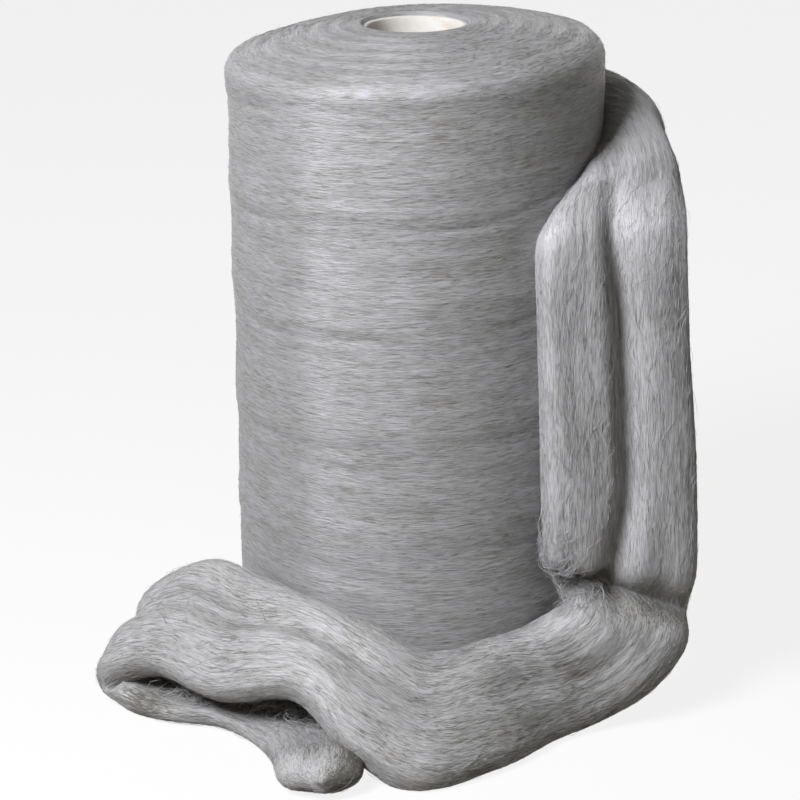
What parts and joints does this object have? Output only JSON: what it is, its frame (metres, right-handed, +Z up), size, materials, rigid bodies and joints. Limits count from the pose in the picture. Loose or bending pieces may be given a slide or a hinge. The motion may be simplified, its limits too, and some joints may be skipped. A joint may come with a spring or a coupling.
{
  "type": "steel wool roll",
  "caption": "Standing roll of steel wool ribbon wound in lapped bands on a card core, its loose end falling to the floor and folded round the base.",
  "frame": {"origin": "middle of the footprint's box, on the floor that the roll stands on", "axes": "+Z up along the roll's own axis, -Y to the front where the loose ribbon lies, +X to the right where it falls"},
  "size_m": [0.3566, 0.3112, 0.4003],
  "materials": {
    "steel_wool": "fine loose steel fibre laid along the ribbon, grey with a soft sheen",
    "card": "spiral-wound paperboard with a pale matt lining"
  },
  "bodies": {
    "root": {"wool_roll": "steel_wool", "card_core": "card"}
  },
  "joints": []
}
